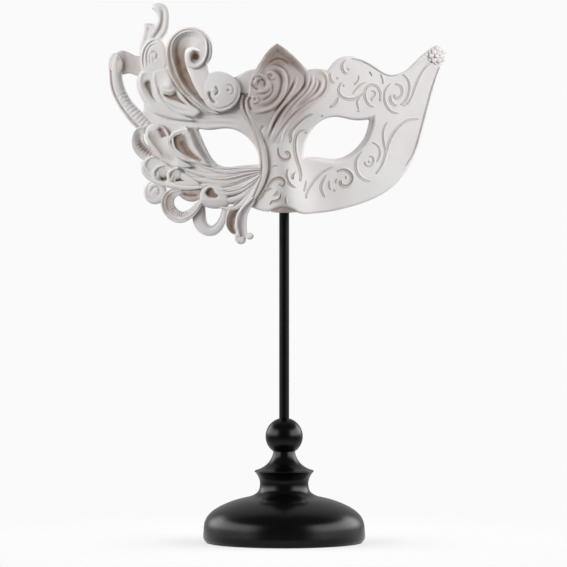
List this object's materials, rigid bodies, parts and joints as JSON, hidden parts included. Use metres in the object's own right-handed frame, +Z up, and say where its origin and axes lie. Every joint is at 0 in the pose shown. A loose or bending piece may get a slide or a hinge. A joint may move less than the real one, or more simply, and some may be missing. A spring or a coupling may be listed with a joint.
{
  "type": "venetian mask on stand",
  "caption": "Half-mask with a crest, plumes and scroll relief, lifted on a slender turned stand with a domed foot that the rod swivels in.",
  "frame": {"origin": "centre of the foot's flat underside, on the rod's axis", "axes": "+Z up along the rod; the mask looks along -Y; +X is to the right of a person facing the mask"},
  "size_m": [0.2084, 0.1138, 0.3271],
  "materials": {
    "felt": "pressed felt",
    "fibreboard": "raw fibreboard",
    "black_lacquer": "satin black lacquer",
    "zinc_steel": "bright zinc",
    "cast_gesso": "matte white cast resin, rubbed with a warm grey wash"
  },
  "bodies": {
    "stand": {"felt_pad": "felt", "base_cover": "fibreboard", "base_dome": "black_lacquer", "neck_collar": "black_lacquer", "ball": "black_lacquer"},
    "rod": {"rod": "black_lacquer", "stud_washer": "zinc_steel", "stud_nut": "zinc_steel"},
    "mask": {"mask_shell": "cast_gesso", "rod_socket": "cast_gesso", "crest_plate": "cast_gesso", "crest_scroll": "cast_gesso", "nose_stem": "cast_gesso", "cheek_flutes": "cast_gesso", "flute_curl": "cast_gesso", "eye_leaf": "cast_gesso", "temple_leaf": "cast_gesso", "outer_arm": "cast_gesso", "ribbed_curl": "cast_gesso", "bead_scrolls": "cast_gesso", "lower_leaf": "cast_gesso", "small_volute": "cast_gesso", "front_loop": "cast_gesso", "back_loop": "cast_gesso", "foot_leaf": "cast_gesso", "foot_scroll": "cast_gesso", "upper_leaf": "cast_gesso", "middle_leaf": "cast_gesso", "shell_volute": "cast_gesso", "big_volute": "cast_gesso", "medallion": "cast_gesso", "tall_plume": "cast_gesso", "arm_bridge": "cast_gesso", "rosette_petals": "cast_gesso", "rosette_bud": "cast_gesso"}
  },
  "joints": [
    {"name": "rod_swivel", "type": "hinge", "parent": "stand", "child": "rod", "pos_m": [0, 0, 0.03], "axis": [0, 0, 1], "continuous": true},
    {"name": "mask_lift", "type": "slide", "parent": "rod", "child": "mask", "axis": [0, 0, 1], "range_m": [0, 0.06]}
  ]
}
